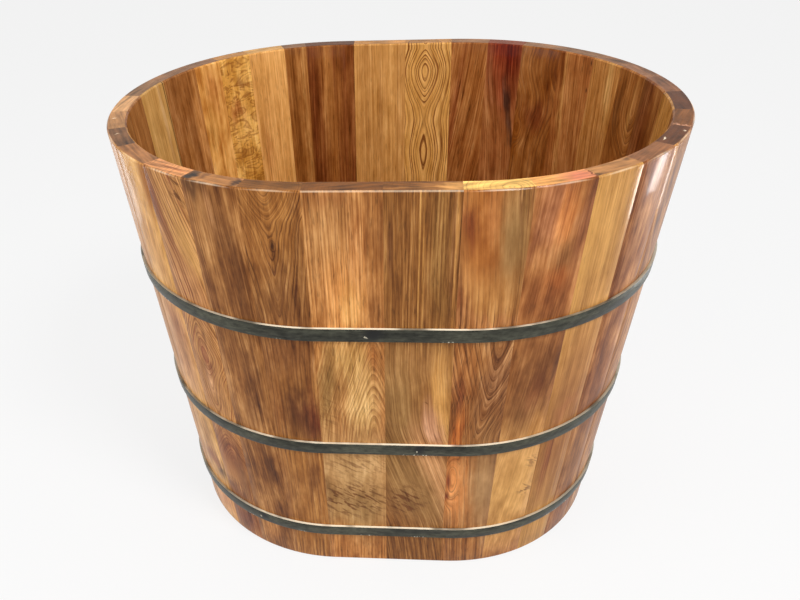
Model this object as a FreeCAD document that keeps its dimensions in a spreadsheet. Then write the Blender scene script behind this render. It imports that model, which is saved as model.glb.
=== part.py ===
"""Oval coopered bathtub: leaning staves, three steel hoops, a planked floor, and a waste with its plug.

The origin is the middle of the foot, +Z is up, +X runs along the tub and -Y faces the front. Sizes are in
millimetres. Every ring of the tub is one section, run straight along the flat sides and turned about the two
end axes.
"""
import FreeCAD, Part
import math
import operator
import os
import Sketcher

DRIVING_SIZES = {
    # staves
    "rim_length": 950.0,
    "rim_width": 740.0,
    "tub_height": 800.0,
    "foot_inset": 64.0,
    "stave_thickness": 32.0,
    "rim_bevel": 2.5,
    "foot_bevel": 3.0,
    "dowel_diameter": 8.0,
    "dowel_length": 32.0,
    "dowel_clearance": 0.1,
    "dowel_end_gap": 1.0,
    # hoops: the drops are from the rim to the upper edges, and the bottom hoop backs the floor's groove
    "hoop_width": 24.0,
    "hoop_thickness": 4.5,
    "hoop_top_drop": 226.5,
    "hoop_middle_drop": 473.0,
    "hoop_floor_margin": 12.5,
    # floor
    "floor_lift": 66.0,
    "floor_thickness": 25.0,
    "croze_depth": 9.0,
    "croze_top_gap": 0.3,
    "croze_end_gap": 1.0,
    # battens, placed by how far their middles lie beyond the end axes, and their screws
    "batten_width": 45.0,
    "batten_thickness": 20.0,
    "batten_offset": 35.0,
    "batten_wall_gap": 12.0,
    "screw_length": 35.0,
    "screw_diameter": 4.0,
    "screw_head_diameter": 8.0,
    "screw_point": 5.0,
    "screw_clearance": 0.1,
    # waste, placed by how far its middle lies beyond the end axis
    "drain_offset": 135.0,
    "waste_diameter": 47.8,
    "waste_wall": 3.0,
    "waste_hole_gap": 0.6,
    "flange_diameter": 70.0,
    "flange_thickness": 3.0,
    "flange_bevel": 1.5,
    "gasket_margin": 2.0,
    "top_gasket_thickness": 2.0,
    "under_gasket_thickness": 3.0,
    "nut_width": 60.0,
    "nut_height": 9.0,
    "nut_clearance": 0.1,
    "thread_margin": 2.0,
    "tail_diameter": 40.0,
    "tail_length": 22.0,
    "spider_drop": 8.0,
    "boss_diameter": 14.0,
    "boss_height": 8.0,
    "spoke_width": 4.0,
    "spoke_height": 5.0,
    # plug
    "plug_lift": 9.0,
    "cap_diameter": 58.0,
    "cap_edge": 2.0,
    "cap_rise": 4.0,
    "seal_diameter": 50.0,
    "seal_width": 10.0,
    "seal_thickness": 3.0,
    "seat_gap": 0.2,
    "stem_diameter": 6.0,
    "stem_clearance": 0.08,
    "stem_end": 3.0,
    "clip_diameter": 12.0,
    "clip_thickness": 1.6,
    "clip_stop_gap": 0.3,
}

# Width of each stave at the rim, as a share of the length round it, from the middle of the front rightwards.
STAVE_WIDTH_SHARES = (
    0.0380, 0.0345, 0.0330, 0.0295, 0.0300, 0.0310, 0.0285, 0.0330,
    0.0310, 0.0285, 0.0270, 0.0290, 0.0325, 0.0275, 0.0285, 0.0340,
    0.0380, 0.0380, 0.0180, 0.0300, 0.0265, 0.0240, 0.0355, 0.0340,
    0.0310, 0.0310, 0.0310, 0.0325, 0.0300, 0.0330, 0.0325, 0.0395,
)
# The first seam lies this far left of the middle of the front, as a share of the same length.
FIRST_SEAM_SHARE = 0.002
# Heights of the dowels in a stave's edge, as shares of the tub's height.
DOWEL_HEIGHT_SHARES = (0.30, 0.75)
# Places of the dowels along a floor seam, as shares of half the floor's length.
FLOOR_DOWEL_SHARES = (-0.55, -0.05, 0.40)

FLOOR_BOARDS = 7
SPOKES = 3
NUT_SIDES = 6

HALF_TURN = math.degrees(math.pi)
QUARTER_TURN = HALF_TURN / 2
WHOLE_TURN = 2 * HALF_TURN
UP = FreeCAD.Vector(0, 0, 1)
ALONG = FreeCAD.Vector(0, 1, 0)
STANDING = FreeCAD.Placement(FreeCAD.Vector(), FreeCAD.Rotation(FreeCAD.Vector(1, 0, 0), QUARTER_TURN))

SIGNS = {"+": operator.add, "-": operator.sub, "*": operator.mul, "/": operator.truediv}

document = FreeCAD.newDocument("wooden_bathtub")
sheet = document.addObject("Spreadsheet::Sheet", "sizes")


class Size:
    """A number together with the formula on the sheet's cells that gives it."""

    def __init__(self, value, formula):
        self.value = float(value)
        self.formula = formula

    def __float__(self):
        return self.value

    def __add__(self, other):
        return joined(self, "+", other)

    def __radd__(self, other):
        return joined(other, "+", self)

    def __sub__(self, other):
        return joined(self, "-", other)

    def __rsub__(self, other):
        return joined(other, "-", self)

    def __mul__(self, other):
        return joined(self, "*", other)

    def __rmul__(self, other):
        return joined(other, "*", self)

    def __truediv__(self, other):
        return joined(self, "/", other)

    def __rtruediv__(self, other):
        return joined(other, "/", self)

    def __neg__(self):
        return joined(0, "-", self)


def formula_of(number):
    return number.formula if isinstance(number, Size) else repr(number)


def joined(left, sign, right):
    value = SIGNS[sign](float(left), float(right))
    return Size(value, f"({formula_of(left)} {sign} {formula_of(right)})")


class Sizes:
    """The driving sizes, each written to a cell of the sheet under its own name."""

    def __init__(self, table):
        for row, (name, value) in enumerate(table.items(), start=1):
            sheet.set(f"A{row}", name)
            sheet.set(f"B{row}", str(value))
            sheet.setAlias(f"B{row}", name)
            setattr(self, name, Size(value, f"sizes.{name}"))


size = Sizes(DRIVING_SIZES)
document.recompute()

# Plan of the rim: two round ends joined by flat sides.
end_radius = size.rim_width / 2
straight = size.rim_length - size.rim_width
end_centre = straight / 2
end_arc = math.pi * end_radius
rim_round = 2 * straight + 2 * end_arc


def outer_wall(height):
    """Distance of the staves' outer face from the end axis, or from the tub's long axis, at a height."""
    return end_radius - size.foot_inset * (1 - height / size.tub_height)


def inner_wall(height):
    return outer_wall(height) - size.stave_thickness


floor_top = size.floor_lift + size.floor_thickness
croze_top = floor_top + size.croze_top_gap
croze_radius = inner_wall(size.floor_lift) + size.croze_depth
floor_radius = croze_radius - size.croze_end_gap
half_floor = end_centre + floor_radius
board_width = 2 * floor_radius / FLOOR_BOARDS
batten_place = end_centre + size.batten_offset
drain_place = end_centre + size.drain_offset
floor_middle = size.floor_lift + size.floor_thickness / 2


def bind(piece, field, number):
    """Ties a property to the sheet's cells, unless the number is plain and stays as set."""
    if isinstance(number, Size):
        piece.setExpression(field, number.formula)


def place(piece, x=0, y=0, z=0, turn=0):
    """Puts a piece at a point, turned about the upright axis."""
    piece.Placement = FreeCAD.Placement(
        FreeCAD.Vector(float(x), float(y), float(z)), FreeCAD.Rotation(UP, float(turn)))
    for field, number in (("Base.x", x), ("Base.y", y), ("Base.z", z), ("Rotation.Angle", turn)):
        bind(piece, f"Placement.{field}", number)
    return piece


def make(kind, label, **fields):
    piece = document.addObject(kind, label)
    piece.Label = label
    for field, value in fields.items():
        if isinstance(value, Size):
            bind(piece, field, value)
        else:
            setattr(piece, field, value)
    return piece


def fix_point(sketch, edge, end, out, up):
    """Holds one end of a sketch's edge at its distances from the sketch's two axes."""
    for kind, number in (("DistanceX", out), ("DistanceY", up)):
        row = sketch.addConstraint(Sketcher.Constraint(kind, -1, 1, edge, end, float(number)))
        bind(sketch, f"Constraints[{row}]", number)


def section(label, corners):
    """A closed outline in the upright plane through the end axis, of (distance out, height) corners."""
    sketch = make("Sketcher::SketchObject", label, Placement=STANDING)
    points = [FreeCAD.Vector(float(out), float(up), 0) for out, up in corners]
    for edge, point in enumerate(points):
        sketch.addGeometry(Part.LineSegment(point, points[(edge + 1) % len(points)]), False)
    for edge in range(len(points)):
        sketch.addConstraint(Sketcher.Constraint("Coincident", edge, 2, (edge + 1) % len(points), 1))
    for edge, (out, up) in enumerate(corners):
        fix_point(sketch, edge, 1, out, up)
    return sketch


def circles(label, centres, radius):
    """Equal circles in the upright plane, at (distance out, height) centres."""
    sketch = make("Sketcher::SketchObject", label, Placement=STANDING)
    for edge, (out, up) in enumerate(centres):
        middle = FreeCAD.Vector(float(out), float(up), 0)
        sketch.addGeometry(Part.Circle(middle, UP, float(radius)), False)
        fix_point(sketch, edge, 3, out, up)
        row = sketch.addConstraint(Sketcher.Constraint("Radius", edge, float(radius)))
        bind(sketch, f"Constraints[{row}]", radius)
    return sketch


def turned(label, sketch, angle=WHOLE_TURN, **where):
    """The section turned about the upright axis through its own origin."""
    piece = make("Part::Revolution", label, Source=sketch, Axis=UP, Solid=True, Angle=angle)
    return place(piece, **where)


def drawn(label, sketch, length, middle=False, **where):
    """The section drawn out square to its plane."""
    piece = make("Part::Extrusion", label, Base=sketch, DirMode="Custom", Dir=ALONG, Solid=True,
                 Symmetric=middle, LengthFwd=length)
    return place(piece, **where)


def box(label, length, width, height, **where):
    return place(make("Part::Box", label, Length=length, Width=width, Height=height), **where)


def rod(label, radius, height, **where):
    return place(make("Part::Cylinder", label, Radius=radius, Height=height), **where)


def ring(label, inner, outer, bottom, height, **where):
    top = bottom + height
    sketch = section(f"{label}_section", [(inner, bottom), (outer, bottom), (outer, top), (inner, top)])
    return turned(label, sketch, **where)


def joined_pieces(label, pieces):
    return make("Part::MultiFuse", label, Shapes=pieces)


def group(label, pieces):
    return make("Part::Compound", label, Links=pieces)


def cut(label, base, tools):
    tool = tools[0] if len(tools) == 1 else group(f"{label}_voids", tools)
    return make("Part::Cut", label, Base=base, Tool=tool)


class Side:
    """One stretch of the rim's way round: a flat side or a round end."""

    def __init__(self, start, length, round_end, heading):
        self.start = start
        self.end = start + length
        self.round_end = round_end
        self.heading = heading

    def frame(self, point):
        """Where the section stands at a point of the way round: the axis place along X, and its turn."""
        gone = point - self.start
        if self.round_end:
            centre = end_centre if self.heading < 0 else -end_centre
            return {"x": centre, "turn": self.heading + gone / end_radius * (HALF_TURN / math.pi)}
        along = gone - end_centre
        return {"x": along if self.heading < 0 else -along, "turn": self.heading}


def way_round():
    """The sides in order from the middle of the front; the front comes again where the way closes."""
    front = Side(-end_centre, straight, False, -QUARTER_TURN)
    right = Side(front.end, end_arc, True, -QUARTER_TURN)
    back = Side(right.end, straight, False, QUARTER_TURN)
    left = Side(back.end, end_arc, True, QUARTER_TURN)
    closing = Side(left.end, straight, False, -QUARTER_TURN)
    return [front, right, back, left, closing]


SIDES = way_round()


def stretch(label, sketch, start, end):
    """The solid that a wall's section makes between two points of the way round."""
    pieces = []
    for number, side in enumerate(SIDES):
        low = max(start, side.start, key=float)
        high = min(end, side.end, key=float)
        if float(high) <= float(low):
            continue
        name = f"{label}_side_{number}"
        where = side.frame(low)
        if side.round_end:
            angle = (high - low) / end_radius * (HALF_TURN / math.pi)
            pieces.append(turned(name, sketch, angle, **where))
        else:
            pieces.append(drawn(name, sketch, high - low, **where))
    return pieces[0] if len(pieces) == 1 else joined_pieces(f"{label}_blank", pieces)


def seam_frame(point):
    for side in SIDES:
        if float(side.start) <= float(point) <= float(side.end):
            return side.frame(point)


def wall_section():
    high_bevel = size.tub_height - size.rim_bevel
    return section("stave_section", [
        (outer_wall(0) - size.foot_bevel, 0),
        (outer_wall(size.foot_bevel), size.foot_bevel),
        (outer_wall(high_bevel), high_bevel),
        (end_radius - size.rim_bevel, size.tub_height),
        (inner_wall(size.tub_height) + size.rim_bevel, size.tub_height),
        (inner_wall(high_bevel), high_bevel),
        (inner_wall(croze_top), croze_top),
        (croze_radius, croze_top),
        (croze_radius, size.floor_lift),
        (inner_wall(size.floor_lift), size.floor_lift),
        (inner_wall(size.foot_bevel), size.foot_bevel),
        (inner_wall(0) + size.foot_bevel, 0),
    ])


def seam_points():
    share = -FIRST_SEAM_SHARE
    points = [rim_round * share]
    for width_share in STAVE_WIDTH_SHARES:
        share = share + width_share
        points.append(rim_round * share)
    return points


def make_staves():
    """The staves with dowel holes in both edges, and all their dowels as one group."""
    sketch = wall_section()
    levels = [size.tub_height * share for share in DOWEL_HEIGHT_SHARES]
    centres = [(outer_wall(level) - size.stave_thickness / 2, level) for level in levels]
    dowel_radius = size.dowel_diameter / 2
    dowel_sketch = circles("stave_dowel_section", centres, dowel_radius)
    hole_sketch = circles("stave_hole_section", centres, dowel_radius + size.dowel_clearance)
    hole_length = size.dowel_length + 2 * size.dowel_end_gap
    points = seam_points()
    dowels = []
    holes = []
    for number, point in enumerate(points[:-1], start=1):
        where = seam_frame(point)
        dowels.append(drawn(f"seam_dowels_{number:02d}", dowel_sketch, size.dowel_length, True, **where))
        holes.append(drawn(f"seam_holes_{number:02d}", hole_sketch, hole_length, True, **where))
    staves = []
    for number in range(len(holes)):
        label = f"stave_{number + 1:02d}"
        blank = stretch(label, sketch, points[number], points[number + 1])
        staves.append(cut(label, blank, [holes[number], holes[(number + 1) % len(holes)]]))
    return staves + [group("stave_dowels", dowels)]


def make_hoop(label, top):
    """A closed strap lying flat on the staves, given by the height of its upper edge."""
    bottom = top - size.hoop_width
    sketch = section(f"{label}_section", [
        (outer_wall(bottom), bottom),
        (outer_wall(bottom) + size.hoop_thickness, bottom),
        (outer_wall(top) + size.hoop_thickness, top),
        (outer_wall(top), top),
    ])
    pieces = []
    for number, side in enumerate(SIDES[:-1]):
        name = f"{label}_side_{number}"
        where = side.frame(side.start)
        if side.round_end:
            pieces.append(turned(name, sketch, HALF_TURN, **where))
        else:
            pieces.append(drawn(name, sketch, straight, **where))
    return joined_pieces(label, pieces)


def make_screws():
    """Screws up through the battens into each board, and the holes that take them."""
    foot = size.floor_lift - size.batten_thickness
    head_radius = size.screw_head_diameter / 2
    shank_radius = size.screw_diameter / 2
    cone_top = foot + head_radius - shank_radius
    tip = foot + size.screw_length

    def outline(label, gap):
        return section(label, [
            (0, foot),
            (head_radius + gap, foot),
            (shank_radius + gap, cone_top),
            (shank_radius + gap, tip - size.screw_point),
            (0, tip + gap),
        ])

    screw_sketch = outline("screw_section", 0)
    hole_sketch = outline("screw_hole_section", size.screw_clearance)
    screws = {}
    holes = {}
    for side, x in (("left", -batten_place), ("right", batten_place)):
        for board in range(FLOOR_BOARDS):
            where = {"x": x, "y": board_start(board) + board_width / 2}
            screws[side, board] = turned(f"screw_{side}_{board + 1}", screw_sketch, **where)
            holes[side, board] = turned(f"screw_hole_{side}_{board + 1}", hole_sketch, **where)
    return screws, holes


def board_start(board):
    return board * board_width - floor_radius


def make_floor(screw_holes):
    """The boards, cut from one racetrack plan, with dowels in their seams."""
    middle = box("floor_middle", straight, 2 * floor_radius, size.floor_thickness,
                 x=-end_centre, y=-floor_radius, z=size.floor_lift)
    ends = [rod(f"floor_end_{name}", floor_radius, size.floor_thickness, x=x, z=size.floor_lift)
            for name, x in (("left", -end_centre), ("right", end_centre))]
    plan = joined_pieces("floor_plan", [middle] + ends)
    centres = [(half_floor * share, floor_middle) for share in FLOOR_DOWEL_SHARES]
    dowel_radius = size.dowel_diameter / 2
    dowel_sketch = circles("floor_dowel_section", centres, dowel_radius)
    hole_sketch = circles("floor_hole_section", centres, dowel_radius + size.dowel_clearance)
    dowels = []
    holes = []
    for board in range(1, FLOOR_BOARDS):
        seam = board_start(board)
        hole_length = size.dowel_length + 2 * size.dowel_end_gap
        dowels.append(drawn(f"floor_seam_dowels_{board}", dowel_sketch, size.dowel_length, True, y=seam))
        holes.append(drawn(f"floor_seam_holes_{board}", hole_sketch, hole_length, True, y=seam))
    boards = []
    for board in range(FLOOR_BOARDS):
        label = f"floor_board_{board + 1}"
        strip = box(f"{label}_strip", 2 * half_floor, board_width, size.floor_thickness,
                    x=-half_floor, y=board_start(board), z=size.floor_lift)
        blank = make("Part::Common", f"{label}_blank", Base=plan, Tool=strip)
        voids = holes[max(board - 1, 0):board + 1] + [screw_holes[side, board] for side in ("left", "right")]
        if board == FLOOR_BOARDS // 2:
            hole_radius = size.waste_diameter / 2 + size.waste_hole_gap
            voids.append(rod("waste_hole", hole_radius, size.floor_thickness,
                             x=drain_place, z=size.floor_lift))
        boards.append(cut(label, blank, voids))
    return boards + [group("floor_dowels", dowels)]


def make_battens(screw_holes):
    """Square-ended battens that stop short of the wall."""
    half_length = inner_wall(size.floor_lift - size.batten_thickness) - size.batten_wall_gap
    battens = []
    for side, x in (("left", -batten_place), ("right", batten_place)):
        blank = box(f"batten_{side}_blank", size.batten_width, 2 * half_length, size.batten_thickness,
                    x=x - size.batten_width / 2, y=-half_length, z=size.floor_lift - size.batten_thickness)
        holes = [screw_holes[side, board] for board in range(FLOOR_BOARDS)]
        battens.append(cut(f"batten_{side}", blank, holes))
    return battens


waste_radius = size.waste_diameter / 2
waste_bore = waste_radius - size.waste_wall
flange_radius = size.flange_diameter / 2
flange_bottom = floor_top + size.top_gasket_thickness
flange_top = flange_bottom + size.flange_thickness
nut_top = size.floor_lift - size.under_gasket_thickness
nut_bottom = nut_top - size.nut_height
thread_bottom = nut_bottom - size.thread_margin
tail_radius = size.tail_diameter / 2
tail_bore = tail_radius - size.waste_wall
tail_bottom = thread_bottom - size.tail_length
boss_top = flange_top - size.spider_drop
boss_bottom = boss_top - size.boss_height
stem_radius = size.stem_diameter / 2


def make_drain():
    """The waste: one casting clamped through the floor between two gaskets by its nut."""
    here = {"x": drain_place}
    tube_sketch = section("drain_tube_section", [
        (tail_bore, tail_bottom),
        (tail_radius, tail_bottom),
        (tail_radius, thread_bottom),
        (waste_radius, thread_bottom),
        (waste_radius, flange_bottom),
        (flange_radius, flange_bottom),
        (flange_radius, flange_top - size.flange_bevel),
        (flange_radius - size.flange_bevel, flange_top),
        (waste_bore, flange_top),
        (waste_bore, thread_bottom + size.waste_wall),
        (tail_bore, thread_bottom + size.waste_wall),
    ])
    parts = [turned("drain_tube", tube_sketch, **here)]
    parts.append(rod("drain_boss", size.boss_diameter / 2, size.boss_height, z=boss_bottom, **here))
    spoke_sketch = section("spoke_section", [
        (stem_radius + size.stem_clearance, boss_top - size.spoke_height),
        (waste_bore + size.waste_wall / 2, boss_top - size.spoke_height),
        (waste_bore + size.waste_wall / 2, boss_top),
        (stem_radius + size.stem_clearance, boss_top),
    ])
    for spoke in range(SPOKES):
        turn = spoke * WHOLE_TURN / SPOKES
        label = f"drain_spoke_{spoke + 1}"
        parts.append(drawn(label, spoke_sketch, size.spoke_width, True, turn=turn, **here))
    casting = joined_pieces("drain_casting", parts)
    guide_radius = stem_radius + size.stem_clearance
    guide = rod("drain_guide_bore", guide_radius, size.boss_height, z=boss_bottom, **here)
    body = cut("drain_body", casting, [guide])
    gasket_radius = flange_radius - size.gasket_margin
    top_gasket = ring("drain_top_gasket", waste_radius, gasket_radius, floor_top,
                      size.top_gasket_thickness, **here)
    under_gasket = ring("drain_under_gasket", waste_radius, gasket_radius, nut_top,
                        size.under_gasket_thickness, **here)
    corner_radius = size.nut_width / 2 / math.cos(math.pi / NUT_SIDES)
    nut_blank = place(make("Part::Prism", "nut_blank", Polygon=NUT_SIDES, Circumradius=corner_radius,
                           Height=size.nut_height), z=nut_bottom, **here)
    nut_hole = rod("nut_hole", waste_radius + size.nut_clearance, size.nut_height, z=nut_bottom, **here)
    return [body, top_gasket, under_gasket, cut("drain_lock_nut", nut_blank, [nut_hole])]


def cap_section(bottom):
    """Half of a shallow dome: a flat underside, a short edge and an arc that ends on the axis."""
    reach = size.cap_diameter / 2
    edge_top = bottom + size.cap_edge
    crown = edge_top + size.cap_rise
    radius = (reach * reach + size.cap_rise * size.cap_rise) / (2 * size.cap_rise)
    sketch = make("Sketcher::SketchObject", "plug_cap_section", Placement=STANDING)
    corners = [(0, bottom), (reach, bottom), (reach, edge_top), (0, crown)]
    points = [FreeCAD.Vector(float(out), float(up), 0) for out, up in corners]
    middle = FreeCAD.Vector(0, float(crown) - float(radius), 0)
    start_angle = math.asin((float(edge_top) - middle.y) / float(radius))
    circle = Part.Circle(middle, UP, float(radius))
    sketch.addGeometry(Part.LineSegment(points[0], points[1]), False)
    sketch.addGeometry(Part.LineSegment(points[1], points[2]), False)
    sketch.addGeometry(Part.ArcOfCircle(circle, start_angle, math.pi / 2), False)
    sketch.addGeometry(Part.LineSegment(points[3], points[0]), False)
    for edge, end in ((0, 2), (1, 2), (2, 2), (3, 2)):
        sketch.addConstraint(Sketcher.Constraint("Coincident", edge, end, (edge + 1) % len(points), 1))
    for edge, (out, up) in enumerate(corners):
        fix_point(sketch, edge, 1, out, up)
    row = sketch.addConstraint(Sketcher.Constraint("Radius", 2, float(radius)))
    bind(sketch, f"Constraints[{row}]", radius)
    return sketch


def make_plug():
    """The plug at rest on the flange: cap and seal above, stem and stop clip below the spider."""
    here = {"x": drain_place}
    seal_bottom = flange_top + size.seat_gap
    cap_bottom = seal_bottom + size.seal_thickness
    clip_top = boss_bottom - size.plug_lift - size.clip_stop_gap
    clip_bottom = clip_top - size.clip_thickness
    stem_bottom = clip_bottom - size.stem_end
    seal_radius = size.seal_diameter / 2
    seal_bore = seal_radius - size.seal_width
    return [
        turned("plug_cap", cap_section(cap_bottom), **here),
        ring("plug_seal", seal_bore, seal_radius, seal_bottom, size.seal_thickness, **here),
        rod("plug_stem", stem_radius, cap_bottom - stem_bottom, z=stem_bottom, **here),
        ring("plug_stop_clip", stem_radius, size.clip_diameter / 2, clip_bottom, size.clip_thickness, **here),
    ]


def make_tub():
    screws, screw_holes = make_screws()
    pieces = make_staves()
    pieces.append(make_hoop("hoop_top", size.tub_height - size.hoop_top_drop))
    pieces.append(make_hoop("hoop_middle", size.tub_height - size.hoop_middle_drop))
    pieces.append(make_hoop("hoop_bottom", floor_top + size.hoop_floor_margin))
    pieces += make_floor(screw_holes)
    pieces += make_battens(screw_holes)
    pieces.append(group("batten_screws", list(screws.values())))
    pieces += make_drain()
    pieces += make_plug()
    return pieces


def check(pieces):
    for item in document.Objects:
        if "Invalid" in item.State or "Error" in item.State:
            raise RuntimeError(f"{item.Label} did not compute: {item.State}")
    for piece in pieces:
        if piece.Shape.isNull() or not piece.Shape.isValid() or not piece.Shape.Solids:
            raise RuntimeError(f"{piece.Label} has no sound solid")


def write(pieces):
    os.makedirs("parts", exist_ok=True)
    for piece in pieces:
        piece.Shape.exportStep(os.path.join("parts", f"{piece.Label}.step"))


tub = make_tub()
document.recompute()
check(tub)
write(tub)
print(len(tub), "nodes,", sum(len(piece.Shape.Solids) for piece in tub), "solids")
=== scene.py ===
"""Looks of a coopered bathtub: varnished boards of mixed tones, dark steel hoops, chrome and brass waste."""

import math

import bpy
from mathutils import Matrix, Vector


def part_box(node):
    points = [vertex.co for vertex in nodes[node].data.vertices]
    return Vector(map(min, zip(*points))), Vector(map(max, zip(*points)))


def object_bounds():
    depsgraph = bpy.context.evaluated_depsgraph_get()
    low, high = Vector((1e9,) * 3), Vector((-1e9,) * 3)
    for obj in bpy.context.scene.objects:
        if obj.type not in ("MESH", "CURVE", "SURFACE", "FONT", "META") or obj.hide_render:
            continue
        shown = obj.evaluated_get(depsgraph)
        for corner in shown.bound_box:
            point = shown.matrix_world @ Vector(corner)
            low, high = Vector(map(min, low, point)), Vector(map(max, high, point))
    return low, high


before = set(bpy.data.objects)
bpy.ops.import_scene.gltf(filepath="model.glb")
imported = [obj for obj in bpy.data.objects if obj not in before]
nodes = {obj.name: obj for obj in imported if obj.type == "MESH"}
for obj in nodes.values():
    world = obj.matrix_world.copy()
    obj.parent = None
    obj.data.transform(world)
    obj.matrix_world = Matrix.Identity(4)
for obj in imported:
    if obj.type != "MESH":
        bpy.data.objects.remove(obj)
cad_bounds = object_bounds()

# The tub's plan and wall, in metres.
HIGH = cad_bounds[1]
TUB_HEIGHT = HIGH.z
END_RADIUS = HIGH.y
END_CENTRE = HIGH.x - END_RADIUS
STAVE_THICKNESS = 0.032
WALL_LEAN = 0.08
FLOOR_BOARDS = 7

# A point of a stave that is nearer than this to the top belongs to its end on the rim.
NEAR_TOP = 0.001

# How far the sharp arrises are rounded, and the least turn between two faces that makes one. Points nearer
# together than the last are one point.
STAVE_ARRIS = 0.0003
PLANED_ARRIS = 0.0006
STRAP_ARRIS = 0.0004
WASTE_ARRIS = 0.0003
ARRIS_TURN = math.radians(28)
SAME_POINT = 0.00001

# The varnish: how thick and rough its gloss is, how much the wood under it shines, how deep the grain is,
# and how it warms the outside, from none to all between two depths in the wall.
VARNISH_COAT = 0.16
COAT_ROUGHNESS = 0.1
WOOD_SPECULAR = 0.08
WOOD_RELIEF = 0.0004
VARNISH_WARMTH = (0.96, 0.90, 0.80, 1.0)
WARM_DEPTHS = (-0.024, -0.012)

# The rim is what looks up this much between these heights. The painted highlight on its outer arris reaches
# this far each way.
RIM_FACING = (0.75, 0.92)
RIM_HEIGHTS = (0.5, 0.6)
ARRIS_GLINT = 0.0028

# A patch with a smaller half width keeps to the grain, and a wider one has a ragged edge.
NARROW_PATCH = 0.0045

# How fine each noise of the wood is, in turns to the metre: outward, across and up, or across, behind and up
# for those that follow the grain.
RIPPLE = (15, 15, 3.2)
CLOUD = (24, 24, 10)
SWELL = (9, 9, 5)
RIM_STROKES = (170, 13, 13)
BROAD = (26, 26, 1.3)
FIBRE = (230, 230, 7)
DAPPLE = (80, 80, 22)
PORES = (430, 430, 42)

# How dark a ring is from its inside to its outside, and a swirl from edge to edge, as (place, level).
RING_STOPS = ((0.0, 0.05), (0.42, 0.0), (0.72, 0.4), (0.9, 1.0), (1.0, 0.05))
SWIRL_STOPS = ((0.0, 0.3), (0.3, 0.0), (0.6, 0.5), (0.8, 1.0), (1.0, 0.3))

# Where each strap was welded shut, as (place along the front, half width of the dark scar), the scar's half
# height, the half width and half height of its bead, and where the nicks along the lower edge end and begin.
WELDS = {"hoop_top": (-0.022, 0.014), "hoop_middle": (0.052, 0.008), "hoop_bottom": (-0.24, 0.010)}
SCAR_HALF_HEIGHT = 0.012
BEAD_HALVES = (0.0014, 0.0020)
NICK_HEIGHTS = (0.0030, 0.0008)
STRAP_METAL = 0.75

# The camera, found by fitting the rim, the hoops and the seams.
CAMERA_AHEAD = 1.3303
CAMERA_ABOVE_RIM = 0.4318
CAMERA_PITCH = 0.6205
CAMERA_ROLL = 0.0483
CAMERA_YAW = 0.0837
TUB_TURN = 0.0211
FOCAL_PIXELS = 795.2
MIDDLE_PIXEL = (338.7, 352.0)
PICTURE_WIDTH = 800
PICTURE_HEIGHT = 600
SENSOR_WIDTH = 36.0

# The lamps, as name: (place, size, watts). The low ones make the streaks of gloss at the two ends.
LAMPS = {
    "key": ((1.4, -1.7, 3.1), (1.1, 1.1), 72.0),
    "fill": ((-2.2, -1.4, 1.8), (2.0, 2.0), 22.0),
    "right_glow": ((1.72, 0.36, 0.03), (0.24, 0.7), 1.6),
    "left_glow": ((-1.36, 0.75, 0.03), (0.4, 0.8), 0.5),
}
GLOW_SPREAD = math.radians(50)

# The studio: the floor's width and grey, how much of what the camera sees of it is white, and the light that
# comes from all round.
FLOOR_WIDTH = 40
FLOOR_GREY = (0.78, 0.78, 0.78, 1.0)
FLOOR_WHITENESS = 0.8
WHITE = (1.0, 1.0, 1.0, 1.0)
SKY_LIGHT = 0.52

# Colours as they look on a screen, in red, green and blue from 0 to 255.
HONEY = (222, 164, 92)
SAND = (208, 156, 90)
GOLD = (204, 146, 72)
OAT = (226, 184, 132)
TAN = (190, 132, 70)
DULL_TAN = (146, 102, 68)
AMBER = (182, 110, 46)
CHESTNUT = (158, 98, 46)
BROWN = (136, 82, 38)
UMBER = (100, 56, 26)
BARK = (66, 36, 18)
RED_BROWN = (130, 62, 30)
HEART_RED = (118, 38, 18)
PLUM = (100, 50, 36)
ROSE = (178, 112, 72)
OLIVE = (150, 114, 60)
CHARCOAL = (44, 26, 20)
STROKE_BROWN = (112, 68, 32)
# Painted along the rim's outer arris: a painted highlight, with some wear.
ARRIS_WEAR_AND_HIGHLIGHT = (255, 236, 206)

STRAP_DARK = (52, 52, 45)
STRAP_PALE = (78, 78, 66)
SCUFF = (120, 118, 100)
SCORCH = (12, 11, 8)
WELD_BEAD = (214, 204, 180)
# Pale tone of the nicks along the straps' lower edges, which are wear, and of the painted highlight along
# their top edges.
NICK_AND_EDGE_HIGHLIGHT = (255, 244, 218)
CHROME = (226, 228, 230)
BRASS = (206, 170, 96)
STEEL = (190, 190, 188)
RUBBER = (38, 38, 40)


def light(colour):
    """A colour as it looks on a screen turned into light."""
    def channel(value):
        share = value / 255
        return share / 12.92 if share <= 0.04045 else ((share + 0.055) / 1.055) ** 2.4
    return tuple(channel(value) for value in colour) + (1.0,)


class Reading:
    """A number or vector that varies over a surface, with the sums that can be done on it."""

    def __init__(self, net, socket):
        self.net = net
        self.socket = socket

    def __add__(self, other):
        return self.net.maths("ADD", self, other)

    def __radd__(self, other):
        return self.net.maths("ADD", other, self)

    def __sub__(self, other):
        return self.net.maths("SUBTRACT", self, other)

    def __rsub__(self, other):
        return self.net.maths("SUBTRACT", other, self)

    def __mul__(self, other):
        return self.net.maths("MULTIPLY", self, other)

    def __rmul__(self, other):
        return self.net.maths("MULTIPLY", other, self)

    def __truediv__(self, other):
        return self.net.maths("DIVIDE", self, other)

    def __pow__(self, other):
        return self.net.maths("POWER", self, other)

    def __neg__(self):
        return self.net.maths("MULTIPLY", self, -1)

    def swing(self, amount):
        """A noise from 0 to 1 made one from half this amount below nothing to half of it above."""
        return (self - 0.5) * amount


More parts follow.
